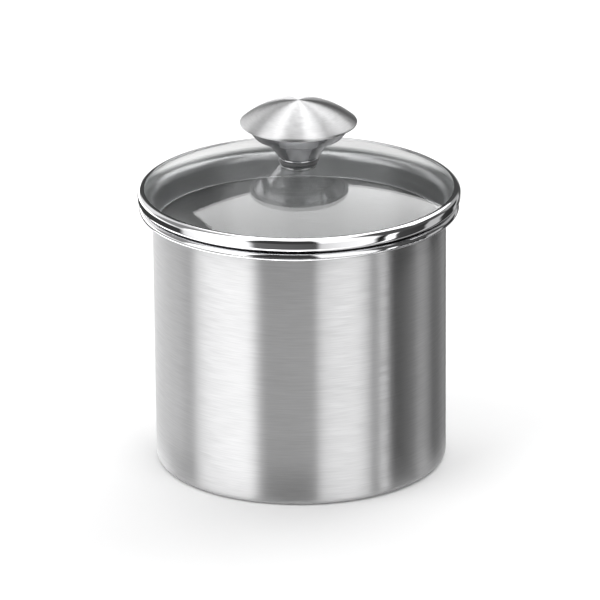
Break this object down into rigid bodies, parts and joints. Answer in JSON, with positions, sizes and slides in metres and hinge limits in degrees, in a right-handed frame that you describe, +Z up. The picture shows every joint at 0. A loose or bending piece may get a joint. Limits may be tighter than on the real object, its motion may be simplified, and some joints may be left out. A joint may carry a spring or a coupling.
{
  "type": "bread bin",
  "caption": "Round steel bread bin: drawn canister with a rolled rim and a lift-off domed glass lid, steel-banded, with a domed steel knob.",
  "frame": {"origin": "centre of the foot ring, on the surface that the bin stands on", "axes": "+Z up along the axis of the canister; -Y is the front, though the bin looks the same all round"},
  "size_m": [0.198, 0.198, 0.2302],
  "materials": {
    "satin_steel": "stainless steel, brushed round the wall, with a polished rim",
    "polished_steel": "polished stainless steel",
    "collar_steel": "semi-polished stainless steel",
    "knob_satin_steel": "stainless steel, spun satin",
    "knob_polished_steel": "polished stainless steel",
    "fixing_steel": "plain stainless steel",
    "lid_glass": "clear tempered glass with a faint green edge",
    "seal_silicone": "dark grey silicone",
    "bedding_silicone": "translucent pale silicone",
    "gasket_silicone": "translucent silicone",
    "bush_nylon": "natural nylon"
  },
  "bodies": {
    "canister": {"canister_shell": "satin_steel"},
    "seal": {"mouth_seal": "seal_silicone"},
    "lid": {"lid_band": "polished_steel", "lid_collar": "collar_steel", "lid_glass": "lid_glass", "glass_bedding": "bedding_silicone", "knob_cap": "knob_satin_steel", "knob_base": "knob_polished_steel", "knob_insert": "fixing_steel", "knob_gasket": "gasket_silicone", "hole_bush": "bush_nylon", "under_gasket": "gasket_silicone", "under_washer": "fixing_steel", "knob_screw": "fixing_steel"}
  },
  "joints": [
    {"name": "lid_lift", "type": "slide", "parent": "canister", "child": "seal", "axis": [0, 0, 1], "range_m": [0, 0.25]},
    {"name": "lid_turn", "type": "hinge", "parent": "seal", "child": "lid", "pos_m": [0, 0, 0.166], "axis": [0, 0, 1], "continuous": true}
  ]
}
